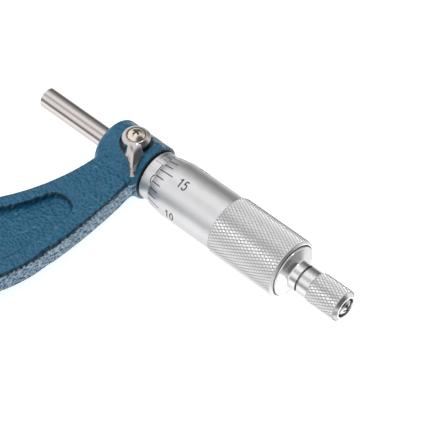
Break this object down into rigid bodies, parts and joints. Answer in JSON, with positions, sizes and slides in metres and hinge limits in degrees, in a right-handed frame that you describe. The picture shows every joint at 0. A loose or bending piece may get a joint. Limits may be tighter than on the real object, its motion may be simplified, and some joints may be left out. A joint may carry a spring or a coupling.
{
  "type": "outside micrometer",
  "caption": "Outside micrometer for large diameters: cast C frame with recessed faces, screw spindle, graduated sleeve and thimble, lock lever and ratchet stop knob.",
  "frame": {"origin": "centre of the anvil's flat measuring face", "axes": "+X along the spindle axis from the anvil to the thimble, +Z out of the frame's front face with the lock lever on it, -Y towards the bottom of the C"},
  "size_m": [0.2398, 0.1072, 0.0224],
  "materials": {
    "blue_enamel": "hammered enamel, semi-gloss",
    "ground_steel": "ground",
    "hardened_steel": "turned",
    "satin_chrome": "satin chrome with black engraved marks",
    "knob_chrome": "satin chrome, knurled",
    "polished_chrome": "polished",
    "spring_steel": "drawn wire",
    "screw_steel": "bright",
    "brass": "turned",
    "polished_nickel": "polished nickel plate",
    "warm_nickel": "bright, warm tone"
  },
  "bodies": {
    "frame_assembly": {"frame": "blue_enamel", "anvil": "ground_steel", "threaded_bush": "hardened_steel", "adjusting_nut": "hardened_steel", "graduated_sleeve": "satin_chrome"},
    "screw_travel": {"thimble_washer": "ground_steel"},
    "thimble_assembly": {"spindle": "ground_steel", "thimble": "satin_chrome", "ratchet_shaft": "polished_chrome", "ratchet_fixed_wheel": "hardened_steel", "ratchet_screw": "screw_steel"},
    "ratchet_knob_assembly": {"ratchet_knob": "knob_chrome", "ratchet_spring": "spring_steel"},
    "ratchet_pawl": {"ratchet_pawl_ring": "hardened_steel"},
    "lock_travel": {"lock_shoe": "brass"},
    "lock_assembly": {"lock_stud": "hardened_steel", "lock_lever": "polished_nickel", "lock_cap_screw": "warm_nickel"}
  },
  "joints": [
    {"name": "spindle_travel", "type": "slide", "parent": "frame_assembly", "child": "screw_travel", "axis": [1, 0, 0], "range_m": [-0.0004, 0.025]},
    {"name": "thimble_turn", "type": "hinge", "parent": "screw_travel", "child": "thimble_assembly", "pos_m": [0.17, 0, 0], "axis": [1, 0, 0], "range_deg": [-228.24, 14171.76]},
    {"name": "ratchet_turn", "type": "hinge", "parent": "thimble_assembly", "child": "ratchet_knob_assembly", "pos_m": [0.21, 0, 0], "axis": [1, 0, 0], "continuous": true},
    {"name": "ratchet_click", "type": "slide", "parent": "ratchet_knob_assembly", "child": "ratchet_pawl", "axis": [1, 0, 0], "range_m": [0, 0.00045], "stiffness_N_per_m": 800, "springref_m": -0.002, "deforming": ["ratchet_spring"]},
    {"name": "lock_press", "type": "slide", "parent": "frame_assembly", "child": "lock_travel", "axis": [0, 0, -1], "range_m": [0, 0.00016]},
    {"name": "lock_turn", "type": "hinge", "parent": "lock_travel", "child": "lock_assembly", "pos_m": [0.139, 0, 0.009], "axis": [0, 0, -1], "range_deg": [0, 72]}
  ],
  "couplings": [
    {"joint": "thimble_turn", "follows": "spindle_travel", "rad_per_m": 9894.8},
    {"joint": "lock_turn", "follows": "lock_press", "rad_per_m": 7854}
  ]
}
